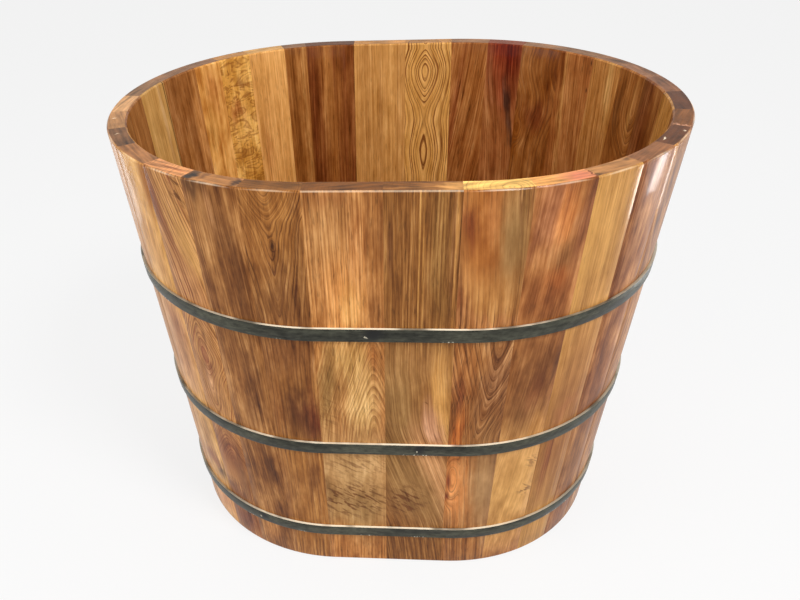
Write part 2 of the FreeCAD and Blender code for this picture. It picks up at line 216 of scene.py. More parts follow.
class Net:
    """A node tree, and the few ways in which nodes are added to it."""

    def __init__(self, tree):
        self.tree = tree

    def node(self, kind, settings=None, sockets=None, output=0):
        """Adds a node: its settings first, then a value or a link on each named or numbered socket."""
        made = self.tree.nodes.new(kind)
        for name, value in (settings or {}).items():
            if name == "stops":
                self.set_stops(made.color_ramp.elements, value)
            elif name == "interpolation":
                made.color_ramp.interpolation = value
            else:
                setattr(made, name, value)
        for name, value in (sockets or {}).items():
            self.feed(made.inputs[name], value)
        return Reading(self, made.outputs[output]) if made.outputs else None

    def feed(self, socket, value):
        if isinstance(value, Reading):
            self.tree.links.new(value.socket, socket)
        elif socket.type == "VECTOR":
            socket.default_value = value[:3]
        else:
            socket.default_value = value

    @staticmethod
    def set_stops(elements, stops):
        """Sets a ramp's (place, grey) stops. A new ramp has two, which become the first and the last."""
        elements[0].position = stops[0][0]
        elements[1].position = stops[-1][0]
        for place, _ in stops[1:-1]:
            elements.new(place)
        for element, (_, level) in zip(elements, stops):
            element.color = (level, level, level, 1.0)

    def maths(self, operation, *values):
        return self.node("ShaderNodeMath", {"operation": operation}, dict(enumerate(values)))

    def parts(self, vector):
        """The three numbers of a vector."""
        made = self.node("ShaderNodeSeparateXYZ", None, {0: vector}).socket.node
        return [Reading(self, made.outputs[axis]) for axis in range(3)]

    def vector(self, x, y, z):
        return self.node("ShaderNodeCombineXYZ", None, {0: x, 1: y, 2: z})

    def moved(self, vector, scale=(1, 1, 1), shift=(0, 0, 0), turn=0.0):
        return self.node("ShaderNodeMapping", {"vector_type": "POINT"},
                         {"Vector": vector, "Location": shift, "Rotation": (0, 0, turn), "Scale": scale})

    def noise(self, vector, detail=2.0, roughness=0.5, distortion=0.0):
        return self.node("ShaderNodeTexNoise", None,
                         {"Vector": vector, "Scale": 1.0, "Detail": detail, "Roughness": roughness,
                          "Distortion": distortion})

    def fade(self, value, low, high, start=0.0, end=1.0):
        """Goes smoothly from start to end as the value goes from low to high."""
        return self.node("ShaderNodeMapRange", {"interpolation_type": "SMOOTHSTEP"},
                         {"Value": value, "From Min": low, "From Max": high, "To Min": start, "To Max": end})

    def ramp(self, value, stops, interpolation="LINEAR"):
        return self.node("ShaderNodeValToRGB", {"stops": stops, "interpolation": interpolation}, {0: value})

    def curve(self, value, stops):
        """A smooth line through (place, amount) stops, read at a varying place."""
        places, amounts = zip(*stops)
        start, span = places[0], places[-1] - places[0]
        low, rise = min(amounts), max(amounts) - min(amounts)
        levels = [((place - start) / span, (amount - low) / rise) for place, amount in stops]
        return self.ramp((value - start) / span, levels, "CARDINAL") * rise + low

    def blend(self, factor, first, second, way="MIX"):
        return self.node("ShaderNodeMix", {"data_type": "RGBA", "blend_type": way},
                         {0: factor, 6: first, 7: second}, output=2)

    def shade(self, colour, amount):
        """A colour made lighter or darker by a varying amount."""
        return self.node("ShaderNodeVectorMath", {"operation": "SCALE"}, {"Vector": colour, "Scale": amount})

    def deepen(self, colour, amount):
        """A colour made darker and richer as the amount rises over 1, and paler below it."""
        return self.node("ShaderNodeGamma", None, {"Color": colour, "Gamma": amount})

    def oval(self, face, place, outer=1.5, inner=0.3):
        """A soft oval on the face, from its strength within inner half widths to nothing beyond outer ones.

        Its place is (across, up, half width, half height, strength).
        """
        across, up, half_width, half_height, strength = place
        scale = (1 / half_width, 1 / half_height, 0)
        placed = self.moved(face, scale, (-across / half_width, -up / half_height, 0))
        far = self.node("ShaderNodeVectorMath", {"operation": "LENGTH"}, {0: placed}, output="Value")
        return self.fade(far, outer, inner, 0.0, strength)


class Finish(Net):
    """One material round one shader."""

    def __init__(self, name):
        self.material = bpy.data.materials.new(name)
        self.material.use_nodes = True
        super().__init__(self.material.node_tree)
        self.shader = self.tree.nodes["Principled BSDF"]
        self.place = self.node("ShaderNodeTexCoord", output="Object")

    def normal_up(self):
        normal = self.node("ShaderNodeNewGeometry", output="Normal")
        return self.parts(normal)[2]

    def shine(self, **values):
        """Gives the shader its values and links, named as its sockets are with _ for a space."""
        for name, value in values.items():
            self.feed(self.shader.inputs[name.replace("_", " ")], value)

    def bump(self, height, distance, strength):
        return self.node("ShaderNodeBump", None,
                         {"Strength": strength, "Distance": distance, "Height": height})


class Board:
    """How one board looks on its seen face.

    Places are (across, up) in metres: across from the board's middle, rightwards as seen, and up from the
    foot. The tones are of the early wood, the late wood that draws the rings, the streaks or clouds in the
    early wood, and the end on the rim. The rings run round a pith that lies (across, behind the face). As
    (up, amount) stops, path says how far the grain wanders across and rise how far the rings stand out:
    rings that rise and sink close into eyes, arches and arrow heads. Bends push the rings out round a place
    of their own: (across, up, half width, half height, push). The figure dies away where the rings are
    settle wide, unless that is 0. Patches are soft ovals: (tone, across, up, half width, half height,
    strength), and marks are the same on the rim, with a place outwards for up. Flecks are ovals full of
    short dark strokes, burl is one of swirls, and in calm ones the grain fades: (across, up, half width,
    half height, strength). Cloudy runs from 0, tones in streaks, to 1, tones in clouds. Spacing is from ring
    to ring, and wander how far the rings ripple. Lines, streaks, grain, fibre, mottle and bands are how
    strong each shows.
    """

    def __init__(self, early, late, second, rim, inside=False, pith=(0.25, 0.02), settle=0.0,
                 spacing=0.0055, wander=0.005, lines=0.5, streaks=0.6, cloudy=0.0, grain=1.0, fibre=0.7,
                 mottle=0.2, bands=1.0, path=(), rise=(), bends=(), calm=(), patches=(), marks=(),
                 flecks=(), burl=()):
        self.early = light(early)
        self.late = light(late)
        self.second = light(second)
        self.rim = light(rim)
        self.inside = inside
        self.pith = pith
        self.settle = settle
        self.spacing = spacing
        self.wander = wander
        self.lines = lines
        self.streaks = streaks
        self.cloudy = cloudy
        self.grain = grain
        self.fibre = fibre
        self.mottle = mottle
        self.bands = bands
        self.path = path
        self.rise = rise
        self.bends = bends
        self.calm = calm
        self.patches = [(light(tone), place) for tone, *place in patches]
        self.marks = [(light(tone), place) for tone, *place in marks]
        self.flecks = flecks
        self.burl = burl

    def along_grain(self, place):
        """A place on the face counted across from the wandering grain."""
        across, up, *rest = place
        return (across - level_at(self.path, up), up, *rest)


def level_at(stops, place):
    """The amount between the two stops that lie round a place."""
    for (low, start), (high, end) in zip(stops, stops[1:]):
        if low <= place <= high:
            return start + (end - start) * (place - low) / (high - low)
    return 0.0


BOARDS = {
    # the front, from the middle rightwards
    1: Board(
        (138, 88, 40), UMBER, (166, 112, 56), (126, 78, 34), pith=(-0.3, 0.02), spacing=0.0042, lines=0.7,
        fibre=1.1, bands=0.4,
        path=((0.0, 0.1), (0.15, 0.075), (0.33, 0.02), (0.47, 0.002), (0.55, 0.0), (0.8, 0.0)),
        calm=[(0.0, 0.44, 0.08, 0.1, 0.5), (0.0, 0.2, 0.08, 0.1, 0.6)],
        patches=[
            (UMBER, -0.043, 0.71, 0.004, 0.045, 0.8), (HONEY, -0.003, 0.68, 0.0012, 0.2, 0.8),
            (HONEY, 0.0025, 0.68, 0.001, 0.2, 0.7), (TAN, 0.047, 0.7, 0.0022, 0.2, 0.6),
            (UMBER, 0.042, 0.72, 0.002, 0.12, 0.7), ((134, 98, 48), 0.026, 0.7, 0.014, 0.14, 0.5),
            ((184, 134, 80), 0.01, 0.5, 0.06, 0.05, 0.7), ((160, 122, 72), -0.03, 0.42, 0.03, 0.1, 0.7),
            (HONEY, 0.04, 0.43, 0.014, 0.09, 0.9), ((224, 166, 130), 0.03, 0.365, 0.014, 0.045, 0.8),
            ((236, 176, 124), 0.04, 0.22, 0.02, 0.12, 0.9), (OLIVE, -0.03, 0.27, 0.026, 0.08, 0.6),
            ((170, 128, 78), -0.004, 0.21, 0.05, 0.09, 0.85),
            ((112, 72, 34), -0.016, 0.185, 0.018, 0.028, 0.5)],
        marks=[
            ((150, 98, 50), 0.016, -0.016, 0.022, 0.03, 0.8),
            ((222, 160, 90), 0.042, -0.014, 0.016, 0.014, 0.9),
            ((178, 120, 64), -0.02, -0.01, 0.05, 0.0022, 0.6),
            ((92, 58, 34), -0.014, -0.028, 0.04, 0.003, 0.7)],
        flecks=[(-0.016, 0.18, 0.034, 0.04, 1.3), (0.016, 0.422, 0.012, 0.003, 0.9)]),
    2: Board(
        (172, 112, 58), UMBER, (178, 126, 76), (250, 196, 108), pith=(0.016, 0.006), spacing=0.0075,
        wander=0.006, lines=1.3, cloudy=0.5, grain=1.1, fibre=0.5, mottle=0.26,
        path=(
            (0.0, 0.0), (0.3, -0.012), (0.36, -0.01), (0.42, -0.001), (0.5, 0.006), (0.62, 0.01),
            (0.8, 0.0)),
        rise=(
            (0.0, 0.03), (0.3, 0.03), (0.36, 0.026), (0.44, 0.006), (0.53, -0.02), (0.6, -0.024),
            (0.8, -0.026)),
        bends=[(-0.037, 0.235, 0.015, 0.06, -0.026)],
        calm=[
            (0.0, 0.7, 0.06, 0.11, 0.75), (0.03, 0.2, 0.034, 0.12, 0.9),
            (-0.03, 0.2, 0.04, 0.12, 0.45)],
        patches=[
            (AMBER, -0.022, 0.73, 0.022, 0.1, 0.7), (RED_BROWN, -0.036, 0.745, 0.01, 0.035, 0.8),
            ((214, 146, 88), -0.01, 0.77, 0.01, 0.04, 0.6),
            ((140, 106, 62), 0.028, 0.73, 0.022, 0.09, 0.8), ((206, 148, 84), 0.0, 0.63, 0.03, 0.04, 0.7),
            (RED_BROWN, -0.038, 0.61, 0.012, 0.03, 0.7), ((212, 146, 92), 0.004, 0.585, 0.04, 0.012, 0.6),
            ((126, 78, 46), 0.026, 0.46, 0.028, 0.09, 0.8),
            ((186, 120, 66), -0.028, 0.49, 0.018, 0.06, 0.6), (HEART_RED, -0.034, 0.43, 0.008, 0.035, 0.6),
            ((222, 130, 60), -0.034, 0.35, 0.01, 0.05, 0.9),
            ((232, 152, 86), -0.026, 0.23, 0.026, 0.08, 1.0), (HEART_RED, -0.037, 0.235, 0.004, 0.022, 0.9),
            (HEART_RED, -0.038, 0.195, 0.004, 0.01, 0.9),
            ((178, 138, 94), 0.024, 0.22, 0.026, 0.11, 0.9)]),
    3: Board(
        (164, 106, 58), RED_BROWN, (186, 124, 70), (230, 162, 90), pith=(-0.24, 0.02), wander=0.01,
        lines=0.2, cloudy=0.8, grain=0.6, mottle=0.36, bands=0.5,
        path=((0.0, -0.04), (0.4, 0.0), (0.8, 0.03)),
        calm=[(0.0, 0.2, 0.09, 0.12, 0.6)],
        patches=[
            ((176, 114, 80), -0.016, 0.76, 0.024, 0.06, 0.7),
            ((208, 128, 66), 0.008, 0.755, 0.016, 0.042, 0.7),
            ((140, 94, 54), 0.012, 0.69, 0.014, 0.03, 0.6), ((112, 58, 34), 0.036, 0.74, 0.012, 0.1, 0.7),
            ((120, 64, 40), -0.038, 0.71, 0.008, 0.03, 0.6), ((160, 96, 50), 0.0, 0.61, 0.045, 0.045, 0.8),
            ((186, 104, 48), 0.006, 0.645, 0.016, 0.02, 0.5), ((119, 72, 34), 0.0, 0.44, 0.05, 0.12, 0.9),
            ((120, 62, 30), 0.006, 0.4, 0.012, 0.07, 0.6), ((226, 174, 106), 0.0, 0.2, 0.07, 0.14, 1.0),
            ((176, 120, 58), 0.03, 0.36, 0.014, 0.03, 0.8)],
        marks=[
            ((212, 124, 94), 0.022, -0.014, 0.026, 0.02, 0.9),
            ((96, 46, 26), 0.042, -0.016, 0.0028, 0.02, 0.9)],
        flecks=[(0.026, 0.19, 0.014, 0.016, 0.8), (0.03, 0.26, 0.012, 0.016, 0.6)]),
    4: Board(
        (194, 144, 82), TAN, (206, 152, 80), (178, 124, 74), pith=(0.3, 0.02), lines=0.12, streaks=0.35,
        cloudy=0.7, grain=0.5, mottle=0.16,
        patches=[
            ((184, 130, 76), 0.0, 0.47, 0.06, 0.12, 0.7), ((150, 94, 48), 0.0, 0.28, 0.06, 0.16, 0.8),
            (RED_BROWN, -0.014, 0.24, 0.008, 0.07, 0.6), (ROSE, 0.0, 0.36, 0.02, 0.02, 0.4)],
        marks=[
            ((84, 50, 28), -0.04, -0.006, 0.004, 0.008, 0.7),
            ((80, 50, 30), 0.034, -0.022, 0.008, 0.004, 0.7)]),
    5: Board(
        (144, 88, 48), UMBER, (176, 120, 72), (138, 90, 56), pith=(-0.2, 0.03), lines=0.25, cloudy=0.7,
        grain=0.7, mottle=0.4, bands=0.6,
        patches=[
            ((120, 68, 34), -0.016, 0.66, 0.018, 0.04, 0.7), ((166, 114, 60), 0.0, 0.22, 0.05, 0.1, 0.6)]),
    6: Board(
        (150, 96, 50), UMBER, TAN, (94, 54, 28), pith=(0.01, 0.01), cloudy=0.3, mottle=0.3,
        rise=((0.0, 0.02), (0.3, 0.0), (0.5, 0.03), (0.8, -0.04)),
        patches=[(UMBER, -0.01, 0.73, 0.02, 0.08, 0.5)],
        # The two near-white marks on this rim are painted glints.
        marks=[
            ((244, 226, 196), -0.02, -0.024, 0.004, 0.0022, 0.9),
            ((236, 214, 184), 0.022, -0.008, 0.003, 0.002, 0.9)]),
    7: Board(
        BROWN, UMBER, CHESTNUT, (116, 70, 32), pith=(0.3, 0.02), lines=0.4, mottle=0.3,
        marks=[((222, 160, 124), -0.034, -0.014, 0.003, 0.018, 0.7)]),
    8: Board(
        GOLD, CHESTNUT, TAN, (82, 46, 24), pith=(-0.01, 0.01), cloudy=0.5, grain=0.8, mottle=0.3,
        rise=((0.0, -0.03), (0.25, 0.02), (0.45, 0.0), (0.65, 0.03), (0.8, 0.0))),
    # the back wall as seen from inside, from the right
    9: Board(
        (134, 78, 32), UMBER, CHESTNUT, (128, 84, 56), inside=True, pith=(-0.2, 0.02), lines=0.25,
        cloudy=0.6, grain=0.8, mottle=0.35,
        patches=[(UMBER, -0.022, 0.75, 0.016, 0.1, 0.8), (RED_BROWN, -0.01, 0.72, 0.02, 0.08, 0.4)]),
    10: Board(
        (178, 112, 52), UMBER, BROWN, (140, 96, 66), inside=True, pith=(0.022, 0.006), settle=0.06,
        spacing=0.009, lines=1.0, cloudy=0.5, grain=0.8, fibre=0.5, mottle=0.3,
        rise=((0.0, 0.09), (0.6, 0.05), (0.66, 0.03), (0.72, -0.015), (0.8, -0.02)),
        calm=[(0.0, 0.6, 0.08, 0.04, 0.5)],
        patches=[(UMBER, -0.022, 0.73, 0.008, 0.07, 0.5), (GOLD, 0.02, 0.74, 0.005, 0.05, 0.5)]),
    11: Board(
        (206, 142, 74), BROWN, CHESTNUT, (146, 100, 66), inside=True, pith=(0.2, 0.02), lines=0.25,
        cloudy=0.4, grain=0.8, mottle=0.25,
        path=((0.4, 0.0), (0.8, -0.03)),
        patches=[((232, 180, 106), 0.014, 0.745, 0.009, 0.06, 0.7)]),
    12: Board(
        (168, 100, 48), UMBER, CHESTNUT, (142, 100, 66), inside=True, pith=(-0.3, 0.02), lines=0.25,
        cloudy=0.4, grain=0.85, mottle=0.25,
        path=((0.4, 0.014), (0.8, -0.014)),
        patches=[
            ((206, 146, 80), -0.018, 0.7, 0.006, 0.12, 0.8), (BARK, 0.032, 0.79, 0.0016, 0.005, 0.9),
            (BARK, 0.032, 0.74, 0.0014, 0.004, 0.9)]),
    13: Board(
        (142, 78, 22), UMBER, BROWN, (142, 100, 66), inside=True, pith=(0.05, 0.01), spacing=0.008,
        lines=0.8, cloudy=0.8, grain=0.7, fibre=0.4, mottle=0.4,
        rise=((0.4, 0.0), (0.6, 0.0), (0.66, 0.012), (0.7, 0.018), (0.76, 0.0), (0.8, 0.004)),
        bends=[(-0.025, 0.635, 0.012, 0.028, 0.014)],
        patches=[
            ((112, 50, 22), 0.006, 0.675, 0.026, 0.035, 0.8), (CHESTNUT, -0.01, 0.76, 0.03, 0.05, 0.6),
            (CHESTNUT, 0.02, 0.6, 0.02, 0.04, 0.7)]),
    14: Board(
        (168, 102, 54), UMBER, BROWN, RED_BROWN, inside=True, pith=(-0.2, 0.02), lines=0.25, cloudy=0.5,
        grain=0.9, mottle=0.3,
        path=((0.5, 0.022), (0.62, 0.014), (0.72, -0.002), (0.8, -0.006)),
        patches=[
            ((112, 30, 8), 0.0, 0.8, 0.05, 0.09, 1.0), (HEART_RED, 0.008, 0.7, 0.02, 0.06, 0.6),
            (ROSE, -0.022, 0.72, 0.004, 0.05, 0.5), (CHARCOAL, 0.016, 0.69, 0.007, 0.03, 0.8),
            (CHARCOAL, 0.026, 0.64, 0.005, 0.09, 0.7)]),
    15: Board(
        (164, 98, 46), UMBER, BROWN, DULL_TAN, inside=True, pith=(0.25, 0.02), wander=0.01, lines=0.25,
        cloudy=0.4, grain=1.0, mottle=0.3,
        path=((0.4, -0.03), (0.8, 0.026)),
        patches=[
            (RED_BROWN, -0.026, 0.66, 0.008, 0.12, 0.6), ((190, 124, 64), 0.004, 0.7, 0.01, 0.06, 0.4)]),
    16: Board(
        (224, 164, 86), (128, 74, 32), HONEY, TAN, inside=True, pith=(-0.006, 0.004), settle=0.06,
        spacing=0.0056, wander=0.005, lines=1.9, streaks=0.5, grain=0.7, fibre=0.3, mottle=0.2, bands=0.6,
        rise=(
            (0.4, 0.016), (0.53, 0.013), (0.58, 0.0052), (0.625, 0.012), (0.655, 0.015), (0.69, 0.004),
            (0.745, -0.019), (0.785, 0.0), (0.8, 0.003))),
    17: Board(
        (214, 154, 84), CHESTNUT, (176, 118, 58), TAN, inside=True, pith=(0.3, 0.02), lines=0.12,
        streaks=1.0, cloudy=0.2, grain=0.75, mottle=0.2, bands=1.4,
        patches=[((170, 114, 58), 0.002, 0.66, 0.004, 0.1, 0.6)]),
    18: Board(
        (166, 102, 46), UMBER, (116, 58, 22), UMBER, inside=True, pith=(-0.3, 0.02), lines=0.1, streaks=1.0,
        grain=0.75, mottle=0.2, bands=1.4,
        patches=[
            (BARK, 0.05, 0.6, 0.003, 0.5, 0.8), ((108, 50, 18), -0.034, 0.64, 0.012, 0.5, 0.7),
            ((184, 122, 62), -0.006, 0.72, 0.008, 0.1, 0.6)]),
    19: Board(
        (150, 90, 36), BROWN, CHESTNUT, DULL_TAN, inside=True, lines=0.2, cloudy=0.4, grain=0.8,
        mottle=0.25,
        patches=[((120, 66, 24), -0.006, 0.72, 0.01, 0.3, 0.5), (TAN, 0.017, 0.7, 0.005, 0.3, 0.5)]),
    20: Board(
        (238, 174, 98), CHESTNUT, (214, 150, 80), SAND, inside=True, pith=(0.3, 0.02), lines=0.15,
        cloudy=0.4, grain=0.75, mottle=0.22,
        patches=[((184, 112, 56), -0.02, 0.6, 0.01, 0.05, 0.5)]),
    21: Board(
        (238, 172, 80), (142, 78, 30), (244, 188, 98), TAN, inside=True, lines=0.1, cloudy=0.8, grain=0.5,
        mottle=0.4,
        patches=[
            ((176, 98, 46), -0.01, 0.69, 0.02, 0.016, 0.8),
            ((122, 68, 30), 0.01, 0.755, 0.012, 0.01, 0.7)],
        burl=(0.0, 0.7, 0.09, 0.2, 1.0)),
    22: Board(
        (210, 138, 64), CHESTNUT, (228, 166, 84), DULL_TAN, inside=True, pith=(0.2, 0.02), lines=0.15,
        cloudy=0.9, grain=0.6, mottle=0.45,
        patches=[
            ((176, 100, 42), 0.008, 0.74, 0.018, 0.04, 0.7),
            ((232, 178, 98), -0.012, 0.66, 0.01, 0.03, 0.6)]),
    23: Board(
        (166, 106, 54), BROWN, (150, 98, 54), DULL_TAN, inside=True, pith=(0.3, 0.02), lines=0.2,
        cloudy=0.7, grain=0.7, mottle=0.4,
        patches=[
            ((206, 138, 72), 0.034, 0.7, 0.01, 0.1, 0.7),
            ((184, 122, 62), -0.01, 0.64, 0.012, 0.04, 0.5)]),
    24: Board(
        (214, 162, 92), OLIVE, (184, 138, 74), (150, 108, 72), inside=True, pith=(0.3, 0.02), lines=0.1,
        cloudy=0.6, grain=0.5, mottle=0.25,
        patches=[(BARK, 0.039, 0.7, 0.0016, 0.5, 0.8), (OAT, 0.022, 0.74, 0.004, 0.1, 0.5)]),
    25: Board(
        (170, 112, 60), CHESTNUT, (146, 92, 46), (214, 160, 108), inside=True, lines=0.2, cloudy=0.5,
        grain=0.8, mottle=0.25),
    26: Board(
        BROWN, UMBER, CHESTNUT, (176, 126, 80), inside=True, lines=0.3, cloudy=0.4, grain=0.8, mottle=0.25,
        # The near-white mark on this rim is a painted glint.
        marks=[((232, 204, 168), 0.01, -0.012, 0.003, 0.003, 0.8)]),
    # the left end and the left of the front
    27: Board(
        (196, 140, 82), BROWN, TAN, (120, 82, 52), pith=(0.0, 0.01), cloudy=0.5, grain=0.8, mottle=0.25,
        rise=((0.0, 0.0), (0.2, 0.03), (0.45, 0.0), (0.8, 0.05)),
        # The near-white mark on this rim is a painted glint.
        marks=[((232, 204, 168), -0.014, -0.014, 0.002, 0.004, 0.8)]),
    28: Board(
        (224, 168, 98), AMBER, (234, 184, 116), (164, 110, 66), pith=(0.3, 0.02), lines=0.12, streaks=0.5,
        cloudy=0.8, grain=0.5, mottle=0.4,
        path=((0.0, 0.02), (0.4, 0.0), (0.8, 0.02)),
        patches=[
            ((176, 110, 60), 0.036, 0.76, 0.008, 0.05, 0.8),
            ((212, 150, 74), 0.01, 0.66, 0.024, 0.06, 0.5), ((206, 148, 102), 0.0, 0.5, 0.06, 0.06, 0.8),
            ((172, 108, 68), 0.01, 0.5, 0.024, 0.03, 0.5),
            ((232, 190, 150), -0.02, 0.47, 0.008, 0.04, 0.6),
            ((196, 138, 94), -0.01, 0.4, 0.06, 0.07, 0.8), ((186, 134, 80), 0.0, 0.22, 0.06, 0.1, 0.7),
            (BARK, 0.028, 0.157, 0.018, 0.018, 0.9), (RED_BROWN, 0.004, 0.18, 0.03, 0.016, 0.8),
            ((212, 160, 92), 0.022, 0.27, 0.014, 0.05, 0.8), ((210, 140, 96), 0.0, 0.06, 0.05, 0.04, 0.7)]),
    29: Board(
        (206, 150, 92), RED_BROWN, (182, 124, 66), (232, 158, 100), pith=(0.0, 0.006), spacing=0.0066,
        wander=0.009, lines=1.1, cloudy=0.6, grain=1.0, fibre=0.5, mottle=0.32, bands=0.6,
        path=(
            (0.0, 0.01), (0.2, 0.008), (0.33, -0.004), (0.47, -0.002), (0.6, -0.008), (0.68, -0.028),
            (0.8, -0.062)),
        rise=(
            (0.0, -0.03), (0.21, -0.03), (0.31, 0.03), (0.36, 0.028), (0.42, 0.018), (0.47, -0.002),
            (0.55, 0.034), (0.61, 0.04), (0.8, 0.044)),
        calm=[(0.0, 0.19, 0.06, 0.04, 0.8), (0.018, 0.66, 0.026, 0.05, 0.5)],
        patches=[
            ((146, 84, 44), -0.03, 0.74, 0.015, 0.08, 0.95),
            ((140, 80, 42), -0.012, 0.69, 0.005, 0.05, 0.8),
            ((226, 174, 104), 0.018, 0.69, 0.022, 0.06, 0.8), ((206, 146, 98), 0.0, 0.6, 0.05, 0.04, 0.5),
            (RED_BROWN, 0.0, 0.465, 0.009, 0.04, 0.8), ((232, 178, 132), -0.008, 0.405, 0.01, 0.025, 0.8),
            ((144, 82, 40), 0.0, 0.23, 0.05, 0.06, 0.9), (PLUM, -0.006, 0.125, 0.028, 0.022, 0.7),
            ((124, 62, 34), 0.0, 0.05, 0.05, 0.05, 0.9),
            ((232, 176, 112), -0.004, 0.778, 0.01, 0.022, 0.8),
            ((112, 68, 36), 0.024, 0.175, 0.014, 0.05, 0.8)],
        marks=[((186, 108, 66), 0.01, -0.02, 0.03, 0.003, 0.6)],
        flecks=[(0.026, 0.775, 0.014, 0.03, 0.9), (-0.014, 0.14, 0.03, 0.02, 0.5)]),
    30: Board(
        (146, 94, 48), UMBER, (168, 114, 62), (168, 114, 66), pith=(-0.25, 0.02), wander=0.011, lines=0.3,
        streaks=0.8, cloudy=0.6, grain=0.9, fibre=0.8, mottle=0.4, bands=0.5,
        path=((0.0, 0.02), (0.25, 0.008), (0.5, 0.0), (0.8, -0.012)),
        patches=[
            (BARK, -0.026, 0.8, 0.022, 0.022, 0.8), ((188, 132, 76), -0.022, 0.7, 0.016, 0.06, 0.5),
            ((118, 72, 36), 0.006, 0.745, 0.014, 0.05, 0.6),
            ((204, 146, 96), -0.004, 0.765, 0.004, 0.03, 0.5),
            ((104, 60, 28), 0.028, 0.69, 0.01, 0.05, 0.6), ((104, 60, 28), 0.026, 0.6, 0.012, 0.05, 0.5),
            ((118, 72, 36), 0.01, 0.47, 0.02, 0.06, 0.5), ((182, 124, 70), -0.016, 0.45, 0.014, 0.05, 0.5),
            ((110, 66, 32), 0.006, 0.38, 0.012, 0.04, 0.6), ((110, 66, 32), 0.012, 0.22, 0.006, 0.08, 0.8),
            ((206, 144, 84), -0.01, 0.05, 0.018, 0.04, 0.8)],
        marks=[
            ((64, 52, 44), -0.036, -0.014, 0.01, 0.018, 1.0),
            ((92, 60, 38), -0.014, -0.018, 0.006, 0.012, 0.6),
            ((66, 44, 32), 0.036, -0.018, 0.006, 0.014, 0.9)]),
    31: Board(
        (170, 112, 56), UMBER, (176, 120, 60), (138, 88, 40), pith=(-0.005, 0.005), settle=0.09,
        spacing=0.0052, wander=0.006, lines=1.1, grain=0.9, fibre=0.7, mottle=0.3, bands=0.4,
        rise=(
            (0.0, 0.03), (0.5, 0.028), (0.6, 0.022), (0.68, 0.01), (0.735, 0.0), (0.76, -0.012),
            (0.8, -0.04)),
        bends=[(-0.003, 0.715, 0.004, 0.01, 0.006)],
        calm=[(0.0, 0.45, 0.07, 0.1, 0.3), (0.0, 0.2, 0.07, 0.12, 0.3)],
        patches=[
            (BARK, -0.002, 0.715, 0.0024, 0.008, 0.9), ((190, 132, 70), -0.01, 0.76, 0.03, 0.04, 0.5),
            ((110, 68, 32), 0.038, 0.72, 0.008, 0.09, 0.6), ((126, 80, 40), 0.0, 0.62, 0.06, 0.06, 0.8),
            ((130, 80, 42), 0.0, 0.52, 0.06, 0.06, 0.8), ((84, 38, 16), 0.02, 0.385, 0.044, 0.058, 0.9),
            (HEART_RED, 0.034, 0.4, 0.01, 0.05, 0.4), ((150, 92, 44), -0.03, 0.4, 0.012, 0.06, 0.6),
            ((108, 60, 30), 0.018, 0.24, 0.01, 0.07, 0.6),
            ((178, 124, 72), -0.02, 0.2, 0.018, 0.06, 0.6)]),
    32: Board(
        (192, 128, 68), BROWN, (180, 122, 68), (128, 78, 34), pith=(0.036, 0.007), spacing=0.005,
        wander=0.004, lines=0.8, grain=0.95, fibre=0.8, mottle=0.28, bands=0.5,
        rise=((0.0, -0.02), (0.33, -0.018), (0.41, -0.004), (0.54, 0.03), (0.6, 0.034), (0.8, 0.034)),
        calm=[(0.0, 0.21, 0.09, 0.12, 0.9)],
        patches=[
            ((202, 148, 92), -0.02, 0.73, 0.05, 0.08, 0.7), ((156, 94, 48), -0.02, 0.785, 0.03, 0.015, 0.6),
            ((184, 108, 54), 0.02, 0.72, 0.012, 0.05, 0.4), (BROWN, 0.046, 0.74, 0.006, 0.06, 0.7),
            (BROWN, 0.034, 0.77, 0.002, 0.04, 0.6), ((240, 168, 98), -0.004, 0.63, 0.028, 0.07, 0.9),
            ((246, 184, 108), 0.004, 0.61, 0.016, 0.04, 0.9), (BROWN, 0.046, 0.6, 0.008, 0.04, 0.7),
            ((212, 166, 98), 0.0, 0.51, 0.03, 0.05, 0.8), ((190, 114, 56), 0.036, 0.5, 0.006, 0.04, 0.7),
            ((230, 186, 120), 0.018, 0.42, 0.026, 0.07, 0.9),
            ((156, 122, 70), -0.038, 0.44, 0.016, 0.09, 0.8), ((200, 160, 108), 0.0, 0.27, 0.08, 0.07, 0.9),
            ((184, 146, 94), 0.0, 0.15, 0.08, 0.07, 0.9), ((128, 92, 48), -0.02, 0.19, 0.05, 0.03, 0.5)],
        flecks=[
            (-0.038, 0.39, 0.016, 0.05, 0.45), (-0.01, 0.18, 0.08, 0.05, 0.95),
            (0.01, 0.27, 0.06, 0.03, 0.6)]),
}


def stave_middle(number):
    """Where a stave's middle stands on the outer edge of the rim, and the way it faces there."""
    mesh = nodes[f"stave_{number:02d}"].data
    top = [v.co for v in mesh.vertices if v.co.z > TUB_HEIGHT - NEAR_TOP]
    along = [co.x for co in top]
    middle_along = (min(along) + max(along)) / 2
    if abs(middle_along) <= END_CENTRE:
        side = math.copysign(1, top[0].y)
        return Vector((middle_along, side * END_RADIUS, 0)), side * math.pi / 2
    end = math.copysign(1, middle_along)
    angles = [math.atan2(co.y, end * co.x - END_CENTRE) for co in top]
    facing = (min(angles) + max(angles)) / 2
    middle = Vector((end * (END_CENTRE + END_RADIUS * math.cos(facing)), END_RADIUS * math.sin(facing), 0))
    return middle, facing if end > 0 else math.pi - facing


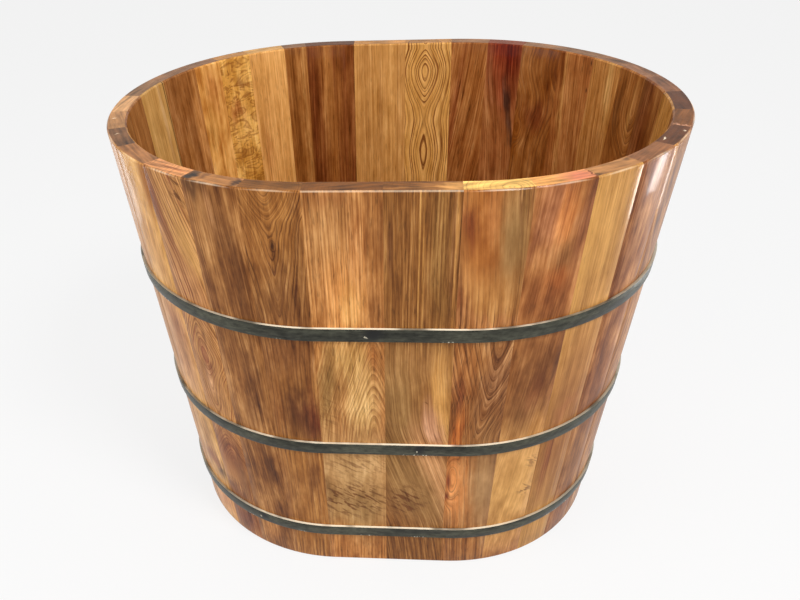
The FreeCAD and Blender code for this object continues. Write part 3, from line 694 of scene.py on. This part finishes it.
class Timber:
    """The places, noises and rings of one board, which its tones, gloss and relief all read.

    local is (outward, across, up) in metres, and a leaning board is one of the wall.
    """

    def __init__(self, finish, local, board, seed, leaning):
        self.finish = finish
        self.local = local
        self.board = board
        self.seed = seed
        self.shift = (seed * 1.7, seed * 2.3, seed * 3.1)
        self.outward, across, self.up = finish.parts(local)
        self.across = -across if board.inside else across
        self.depth = self.outward + (TUB_HEIGHT - self.up) * WALL_LEAN if leaning else self.outward
        self.behind = self.depth + STAVE_THICKNESS if board.inside else -self.depth
        self.aside = self.across - finish.curve(self.up, board.path) if board.path else self.across
        self.face = finish.vector(self.across, self.up, 0.0)
        self.straight = finish.vector(self.aside, self.up, 0.0)
        self.ripple = self.noise(local, RIPPLE, roughness=0.5)
        self.cloud = self.noise(local, CLOUD)
        along_grain = finish.vector(self.aside, self.behind, self.up)
        self.broad = self.noise(along_grain, BROAD, roughness=0.55)
        self.fibre = self.noise(along_grain, FIBRE, roughness=0.7)
        self.dapple = self.noise(along_grain, DAPPLE)
        self.pores = self.noise(along_grain, PORES, detail=1.0, roughness=0.5)

        rings = self.ring_place()
        self.bands = finish.noise(finish.vector(rings * 75 + seed, self.across * 4, self.up * 1.5),
                                  detail=4.0, roughness=0.68)
        self.grain = finish.noise(finish.vector(rings * 300 + seed, self.behind * 60, self.up * 5),
                                  detail=3.0, roughness=0.7)
        share = finish.maths("FRACT", rings / board.spacing + self.bands * 3)
        ringed = self.bands + self.cloud.swing(0.6)
        strength = finish.fade(ringed, 0.38, 0.62, board.lines * 0.4, board.lines)
        self.lines = strength * finish.ramp(share, RING_STOPS)
        self.clear = board.grain
        for place in board.calm:
            self.clear = (1 - finish.oval(self.face, place)) * self.clear
        self.ragged = finish.vector(
            self.aside + self.fibre.swing(0.014) + self.bands.swing(0.030) + self.cloud.swing(0.030),
            self.up + self.ripple.swing(0.12) + self.dapple.swing(0.06), 0.0)

    def noise(self, place, scale, detail=3.0, roughness=0.6):
        return self.finish.noise(self.finish.moved(place, scale, self.shift), detail, roughness)

    def ring_place(self):
        """How far out in the tree each place lies, in metres. Whatever reads it follows the rings."""
        finish, board = self.finish, self.board
        pith_across, pith_behind = board.pith
        beside = self.aside - pith_across
        below = self.behind - pith_behind
        rings = (beside * beside + below * below) ** 0.5
        if board.rise:
            figure = finish.curve(self.up, board.rise)
            if board.settle:
                figure = finish.fade(rings, 0.0, board.settle, 1.0, 0.3) * figure
            rings = rings + figure
        rings = rings + (self.ripple * 2 - 1) * board.wander
        for bend in board.bends:
            rings = rings + finish.oval(self.face, bend)
        return rings

    def dark_strokes(self):
        """Short dark strokes that lie across the grain, slightly aslant."""
        finish = self.finish
        turned = finish.moved(finish.moved(self.face, turn=0.6), (46, 150, 0), (self.seed, self.seed, 0))
        return finish.fade(finish.noise(turned, detail=3.0, distortion=0.6), 0.48, 0.62)

    def swirls(self):
        """Crumpled swirls with soft dark lines round them, for wood that grew round buds."""
        finish = self.finish
        placed = finish.moved(self.face, (22, 40, 0), (self.seed, self.seed, 0))
        curl = finish.noise(placed, roughness=0.45, distortion=1.6)
        share = finish.maths("FRACT", curl * 4)
        return finish.ramp(share, SWIRL_STOPS) * finish.oval(self.ragged, self.board.burl)

    def face_tones(self):
        """Early wood in streaks or clouds of two tones, then the patches, the rings and the flecks."""
        finish, board = self.finish, self.board
        streaky = (self.broad + self.bands) * (0.5 - board.cloudy / 2) + self.cloud * board.cloudy
        streaks = finish.fade(streaky, 0.40, 0.62, 0.0, board.streaks)
        colour = finish.blend(streaks, board.early, board.second)
        for tone, place in board.patches:
            face = self.ragged if place[2] > NARROW_PATCH else self.straight
            patch = finish.oval(face, board.along_grain(place), 1.8, 0.1)
            colour = finish.blend(patch, colour, tone)
        colour = finish.blend(self.lines * self.clear / board.grain, colour, board.late)
        if board.flecks:
            strokes = self.dark_strokes()
            for place in board.flecks:
                colour = finish.blend(finish.oval(self.face, place) * strokes, colour, light(STROKE_BROWN))
        return colour

    def rim_tones(self):
        """The sawn end on the rim, with saw strokes along it and its own marks, a few of which are painted
        glints.
        """
        finish, board = self.finish, self.board
        slant = finish.moved(self.local, turn=0.16 * math.sin(self.seed * 2.1))
        strokes = self.noise(slant, RIM_STROKES)
        place = finish.vector(self.across + self.cloud.swing(0.03) + strokes.swing(0.03),
                              self.outward + self.cloud.swing(0.02), 0.0)
        colour = finish.blend(self.lines * 0.5, board.rim, light(UMBER))
        for tone, mark in board.marks:
            colour = finish.blend(finish.oval(place, mark), colour, tone)
        brightness = finish.fade(self.ripple, 0.3, 0.7, 0.8, 1.15) + self.cloud.swing(1.2)
        return finish.shade(colour, brightness + strokes.swing(2.2))

    def arris_wear_and_highlight(self):
        """Where the outer arris of the rim is painted pale: a painted highlight, with some wear, broken up
        along the rim.
        """
        finish = self.finish
        near_top = finish.fade(self.up, TUB_HEIGHT - ARRIS_GLINT, TUB_HEIGHT)
        highlight_strength = finish.fade(self.ripple + self.cloud.swing(0.6), 0.35, 0.6, 0.8, 1.0)
        return finish.fade(self.depth, -ARRIS_GLINT, 0.0) * near_top * highlight_strength


def wood(finish, local, board, seed, leaning=False):
    """The colours, gloss and relief of a varnished board."""
    timber = Timber(finish, local, board, seed, leaning)
    colour = timber.face_tones()
    relief = timber.fibre * 0.3 + timber.grain * 0.3 + timber.noise(local, SWELL, 1.0, 0.5) * 6
    if board.burl:
        swirls = timber.swirls()
        colour = finish.blend(swirls * 0.75, colour, board.late)
        relief = relief - swirls * 0.8
    streak = timber.fibre.swing(board.fibre * 1.4) + timber.grain.swing(1.2)
    streak = streak + timber.bands.swing(board.bands * 1.3)
    soft = timber.cloud.swing(1.6 + board.cloudy * 2.0) + timber.dapple.swing(3.2 - board.cloudy * 2.0)
    figure = streak * timber.clear + soft * board.mottle
    colour = finish.deepen(colour, 1.0 - figure * 0.6)
    pits = finish.fade(timber.pores, 0.60, 0.70, 0.0, 0.3) * timber.clear
    colour = finish.shade(colour, figure + 1.0 - pits)
    warmed = finish.blend(1.0, colour, VARNISH_WARMTH, "MULTIPLY")
    colour = finish.blend(finish.fade(timber.depth, *WARM_DEPTHS), colour, warmed)
    coat = VARNISH_COAT
    if leaning:
        rim = finish.fade(finish.normal_up(), *RIM_FACING) * finish.fade(timber.up, *RIM_HEIGHTS)
        colour = finish.blend(rim, colour, timber.rim_tones())
        # Painted highlight, with some wear: the rim's outer arris is painted pale where it turns from the
        # top to the outside.
        colour = finish.blend(timber.arris_wear_and_highlight(), colour, light(ARRIS_WEAR_AND_HIGHLIGHT))
        coat = (1 - rim) * VARNISH_COAT
    roughness = finish.fade(timber.fibre, 0.2, 0.8, 0.34, 0.46)
    finish.shine(Base_Color=colour, Roughness=roughness, Coat_Weight=coat, Coat_Roughness=COAT_ROUGHNESS,
                 Specular_IOR_Level=WOOD_SPECULAR, Normal=finish.bump(relief, WOOD_RELIEF, 0.6))


def give(name, finish):
    piece = nodes[name]
    piece.data.materials.clear()
    piece.data.materials.append(finish.material)


def soften(piece, width):
    """Joins the loose triangles where they meet, and rounds the sharp arrises."""
    weld = piece.modifiers.new("weld", "WELD")
    weld.merge_threshold = SAME_POINT
    bevel = piece.modifiers.new("arris", "BEVEL")
    bevel.width = width
    bevel.segments = 2
    bevel.limit_method = "ANGLE"
    bevel.angle_limit = ARRIS_TURN


def dress_staves():
    for number, board in BOARDS.items():
        name = f"stave_{number:02d}"
        middle, facing = stave_middle(number)
        finish = Finish(f"varnished_{name}")
        middle.rotate(Matrix.Rotation(-facing, 3, "Z"))
        local = finish.moved(finish.place, shift=tuple(-middle), turn=-facing)
        wood(finish, local, board, number, leaning=True)
        give(name, finish)
        soften(nodes[name], STAVE_ARRIS)


def dress_floor():
    looks = (Board(TAN, BROWN, SAND, BROWN, pith=(0.3, 0.02), lines=0.35),
             Board(GOLD, CHESTNUT, HONEY, BROWN, pith=(0.0, 0.01),
                   rise=((-0.45, 0.0), (0.05, 0.04), (0.45, -0.01))),
             Board(CHESTNUT, UMBER, TAN, BROWN, pith=(-0.25, 0.02), lines=0.4))
    for number in range(1, FLOOR_BOARDS + 1):
        name = f"floor_board_{number}"
        low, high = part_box(name)
        finish = Finish(f"varnished_{name}")
        x, y, z = finish.parts(finish.place)
        local = finish.vector(z - high.z, y - (low.y + high.y) / 2, x)
        wood(finish, local, looks[number % len(looks)], len(BOARDS) + number)
        give(name, finish)
        soften(nodes[name], PLANED_ARRIS)


def dress_battens():
    plain = Board(CHESTNUT, UMBER, BROWN, BROWN, pith=(0.02, 0.03), lines=0.4)
    for number, name in enumerate(("batten_left", "batten_right"), len(BOARDS) + FLOOR_BOARDS + 1):
        low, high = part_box(name)
        finish = Finish(f"planed_{name}")
        x, y, z = finish.parts(finish.place)
        local = finish.vector(z - low.z, x - (low.x + high.x) / 2, y)
        wood(finish, local, plain, number)
        give(name, finish)
        soften(nodes[name], PLANED_ARRIS)


def dress_dowels():
    finish = Finish("turned_dowel")
    fibre = finish.noise(finish.moved(finish.place, (300, 300, 300)))
    finish.shine(Base_Color=finish.shade(light(SAND), fibre * 0.4 + 0.8), Roughness=0.6)
    for name in ("stave_dowels", "floor_dowels"):
        give(name, finish)


def dress_hoops():
    """Dark satin strap, scuffed and dappled, with its weld, pale nicks along the lower edge, and a painted
    highlight along the top edge.
    """
    for number, (name, (weld, scar)) in enumerate(WELDS.items()):
        low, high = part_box(name)
        finish = Finish(f"strap_{name}")
        along, ahead, up = finish.parts(finish.place)
        shift = (number * 3.1, number * 1.3, 0.0)
        cloud = finish.noise(finish.moved(finish.place, (9, 9, 60), shift), detail=3.0)
        dapple = finish.noise(finish.moved(finish.place, (70, 70, 160), shift), detail=3.0, roughness=0.65)
        scuff = finish.noise(finish.moved(finish.place, (40, 40, 900), shift))
        speck = finish.noise(finish.moved(finish.place, (260, 260, 260), shift), detail=1.0)
        wear_and_highlight_noise = finish.noise(finish.moved(finish.place, (14, 14, 0), shift))
        colour = finish.blend(finish.fade(cloud, 0.35, 0.7), light(STRAP_DARK), light(STRAP_PALE))
        colour = finish.shade(colour, dapple.swing(2.4) + 1.0)
        colour = finish.blend(finish.fade(scuff, 0.55, 0.8, 0.0, 0.4), colour, light(SCUFF))

        face = finish.vector(along + dapple.swing(0.02), up, 0.0)
        middle_up = (low.z + high.z) / 2
        front = finish.fade(ahead, 0.0, low.y / 2)
        scorch = finish.oval(face, (weld, middle_up + 0.002, scar, SCAR_HALF_HEIGHT, 1.0)) * front
        colour = finish.blend(scorch, colour, light(SCORCH))
        bead_place = (weld - scar * 0.7, middle_up - 0.003, *BEAD_HALVES, 0.8)
        bead = finish.oval(face, bead_place, 1.6, 0.6) * front
        colour = finish.blend(bead, colour, light(WELD_BEAD))

        none, most = NICK_HEIGHTS
        nicks = finish.fade(up, low.z + none, low.z + most) * finish.fade(speck, 0.55, 0.62)
        nicks = nicks * finish.fade(wear_and_highlight_noise, 0.56, 0.64)
        # Painted highlight: where a strap's top edge faces up it is painted pale and less metallic so that
        # it looks lit, brightest midway along the tub and broken up along the strap. The nicks below share
        # the pale tone.
        top_edge_highlight = finish.fade(finish.normal_up(), 0.45, 0.75) * finish.fade(wear_and_highlight_noise, 0.34, 0.52, 0.35, 1.0)
        middle = finish.fade(finish.maths("ABSOLUTE", along), HIGH.x * 0.25, HIGH.x * 0.75, 1.0, 0.45)
        bright = finish.maths("MAXIMUM", nicks * 0.8, top_edge_highlight * middle)
        colour = finish.blend(bright, colour, light(NICK_AND_EDGE_HIGHLIGHT))
        metal = finish.maths("MAXIMUM", STRAP_METAL - bright * STRAP_METAL - scorch * 0.4, 0.0)
        finish.shine(Base_Color=colour, Metallic=metal, Roughness=finish.fade(cloud, 0.3, 0.7, 0.34, 0.5),
                     Normal=finish.bump(scuff + cloud * 2 + dapple, 0.0003, 0.5))
        give(name, finish)
        soften(nodes[name], STRAP_ARRIS)


def plain_metal(name, colour, roughness, metallic=1.0):
    finish = Finish(name)
    smear = finish.noise(finish.moved(finish.place, (60, 60, 60)), detail=3.0)
    grain = finish.noise(finish.moved(finish.place, (900, 900, 120)), detail=1.0)
    finish.shine(Base_Color=finish.shade(light(colour), smear * 0.24 + 0.88), Metallic=metallic,
                 Roughness=finish.fade(smear, 0.3, 0.7, roughness * 0.8, roughness * 1.3),
                 Normal=finish.bump(grain, 0.0001, 0.2))
    return finish


def dress_waste():
    chrome = plain_metal("polished_chrome", CHROME, 0.09)
    brass = plain_metal("machined_brass", BRASS, 0.28)
    steel = plain_metal("bright_steel", STEEL, 0.25)
    rubber = plain_metal("seal_rubber", RUBBER, 0.6, metallic=0.0)
    looks = {"drain_body": chrome, "plug_cap": chrome, "plug_stem": brass, "drain_lock_nut": brass,
             "plug_stop_clip": steel, "batten_screws": steel, "drain_top_gasket": rubber,
             "drain_under_gasket": rubber, "plug_seal": rubber}
    for name, finish in looks.items():
        give(name, finish)
    for name in ("plug_cap", "drain_body", "drain_lock_nut"):
        soften(nodes[name], WASTE_ARRIS)


def seen_ray(net):
    """1 for a ray from the camera, or one that a glossy or clear surface passes on, and 0 for any other."""
    rays = net.node("ShaderNodeLightPath").socket.node
    glossy = Reading(net, rays.outputs["Is Camera Ray"]) + Reading(net, rays.outputs["Is Glossy Ray"])
    return net.maths("MINIMUM", glossy + Reading(net, rays.outputs["Is Transmission Ray"]), 1.0)


def lay_floor():
    """A wide pale floor that stays white to the camera but keeps the tub's shadow."""
    bpy.ops.object.select_all(action="DESELECT")
    bpy.ops.mesh.primitive_plane_add(size=FLOOR_WIDTH)
    floor = bpy.context.object
    floor.name = "studio_floor"
    material = bpy.data.materials.new("pale_floor")
    material.use_nodes = True
    net = Net(material.node_tree)
    net.tree.nodes.clear()
    pale = net.node("ShaderNodeBsdfDiffuse", None, {"Color": FLOOR_GREY})
    white = net.node("ShaderNodeEmission", None, {"Color": WHITE, "Strength": 1.0})
    mixed = net.node("ShaderNodeMixShader", None, {0: seen_ray(net) * FLOOR_WHITENESS, 1: pale, 2: white})
    net.node("ShaderNodeOutputMaterial", None, {"Surface": mixed})
    floor.data.materials.append(material)


def light_studio():
    world = bpy.data.worlds.new("soft_studio")
    bpy.context.scene.world = world
    world.use_nodes = True
    net = Net(world.node_tree)
    net.tree.nodes.clear()
    brightness = seen_ray(net) * (1 - SKY_LIGHT) + SKY_LIGHT
    background = net.node("ShaderNodeBackground", None, {"Color": WHITE, "Strength": brightness})
    net.node("ShaderNodeOutputWorld", None, {"Surface": background})
    for name, (place, size, power) in LAMPS.items():
        lamp = bpy.data.lights.new(name, "AREA")
        lamp.shape = "ELLIPSE"
        lamp.size, lamp.size_y = size
        lamp.energy = power
        if "glow" in name:
            lamp.spread = GLOW_SPREAD
        stand = bpy.data.objects.new(name, lamp)
        stand.location = place
        stand.visible_camera = False
        aim = Vector((0, 0, TUB_HEIGHT / 2)) - Vector(place)
        stand.rotation_euler = aim.to_track_quat("-Z", "Y").to_euler()
        bpy.context.scene.collection.objects.link(stand)


def set_camera():
    forward = Vector((0, math.cos(CAMERA_PITCH), -math.sin(CAMERA_PITCH)))
    right = Vector((1, 0, 0))
    down = -right.cross(forward)
    level_right = right * math.cos(CAMERA_ROLL) + down * math.sin(CAMERA_ROLL)
    level_down = down * math.cos(CAMERA_ROLL) - right * math.sin(CAMERA_ROLL)
    turn = Matrix.Rotation(CAMERA_YAW + TUB_TURN, 3, "Z")
    axes = [turn @ level_right, turn @ -level_down, turn @ -forward]
    stand = Matrix.Rotation(TUB_TURN, 3, "Z") @ Vector((0, -CAMERA_AHEAD, 0))
    stand.z = TUB_HEIGHT + CAMERA_ABOVE_RIM
    camera = bpy.data.cameras.new("photo_view")
    camera.sensor_width = SENSOR_WIDTH
    camera.lens = FOCAL_PIXELS / PICTURE_WIDTH * SENSOR_WIDTH
    camera.shift_x = (PICTURE_WIDTH / 2 - MIDDLE_PIXEL[0]) / PICTURE_WIDTH
    camera.shift_y = (MIDDLE_PIXEL[1] - PICTURE_HEIGHT / 2) / PICTURE_WIDTH
    holder = bpy.data.objects.new("photo_view", camera)
    holder.matrix_world = Matrix.Translation(stand) @ Matrix(axes).transposed().to_4x4()
    bpy.context.scene.collection.objects.link(holder)
    bpy.context.scene.camera = holder


set_camera()
lay_floor()
light_studio()
dress_staves()
dress_floor()
dress_battens()
dress_dowels()
dress_hoops()
dress_waste()
bpy.context.scene.view_settings.view_transform = "Standard"
